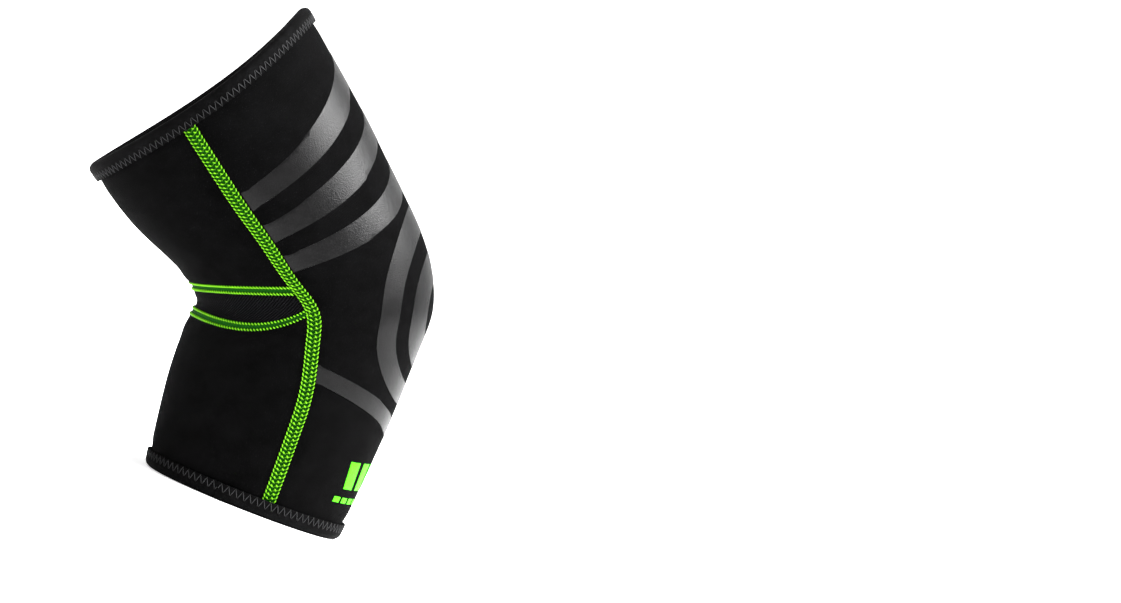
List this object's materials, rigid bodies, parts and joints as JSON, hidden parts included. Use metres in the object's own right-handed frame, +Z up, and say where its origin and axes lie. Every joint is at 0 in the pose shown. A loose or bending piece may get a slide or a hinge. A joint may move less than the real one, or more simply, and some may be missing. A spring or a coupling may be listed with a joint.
{
  "type": "elbow sleeve",
  "caption": "Pre-curved tubular neoprene elbow sleeve with a padded back panel, a ribbed crease insert, bright flatlock seams and taped rims.",
  "frame": {"origin": "on the floor under the middle of the bounding box; the sleeve stands on its forearm opening", "axes": "+Z up along the forearm half, -X towards the crease of the elbow, +X towards the back of the elbow, -Y the right side"},
  "size_m": [0.1616, 0.1074, 0.2091],
  "materials": {
    "jersey": "matt knitted nylon jersey",
    "neoprene_foam": "closed-cell foam, hidden between the jerseys",
    "lining": "matt knitted jersey",
    "stretch_rib": "fine diagonal rib",
    "binding_tape": "matt folded stretch tape",
    "black_thread": "satin thread",
    "green_thread": "bright lime satin thread",
    "green_print": "smooth lime transfer print"
  },
  "bodies": {
    "forearm_half": {"forearm_panel_lower_face": "jersey", "forearm_panel_lower_core": "neoprene_foam", "forearm_panel_lower_lining": "lining", "back_panel_lower_face": "jersey", "back_panel_lower_core": "neoprene_foam", "back_panel_lower_lining": "lining", "lower_binding": "binding_tape", "lower_binding_stitch": "black_thread", "right_side_seam_lower": "green_thread", "left_side_seam_lower": "green_thread", "forearm_mark": "green_print", "back_panel_elbow_face": "jersey", "back_panel_elbow_core": "neoprene_foam", "back_panel_elbow_lining": "lining", "forearm_panel_elbow_face": "jersey", "forearm_panel_elbow_core": "neoprene_foam", "forearm_panel_elbow_lining": "lining", "biceps_panel_elbow_face": "jersey", "biceps_panel_elbow_core": "neoprene_foam", "biceps_panel_elbow_lining": "lining", "crease_insert": "stretch_rib", "crease_seam_low": "green_thread", "crease_seam_high": "green_thread", "right_side_seam_elbow": "green_thread", "left_side_seam_elbow": "green_thread"},
    "upper_arm_half": {"back_panel_upper_face": "jersey", "back_panel_upper_core": "neoprene_foam", "back_panel_upper_lining": "lining", "biceps_panel_upper_face": "jersey", "biceps_panel_upper_core": "neoprene_foam", "biceps_panel_upper_lining": "lining", "upper_binding": "binding_tape", "upper_binding_stitch": "black_thread", "right_side_seam_upper": "green_thread", "left_side_seam_upper": "green_thread"}
  },
  "joints": [
    {"name": "elbow_flex", "type": "hinge", "parent": "forearm_half", "child": "upper_arm_half", "pos_m": [0.0305, 0, 0.095], "axis": [0, -1, 0], "range_deg": [-55, 40], "stiffness_Nm_per_rad": 1.2, "springref_deg": -1.15, "deforming": ["back_panel_elbow_face", "back_panel_elbow_core", "back_panel_elbow_lining", "forearm_panel_elbow_face", "forearm_panel_elbow_core", "forearm_panel_elbow_lining", "biceps_panel_elbow_face", "biceps_panel_elbow_core", "biceps_panel_elbow_lining", "crease_insert", "crease_seam_low", "crease_seam_high", "right_side_seam_elbow", "left_side_seam_elbow"]}
  ]
}
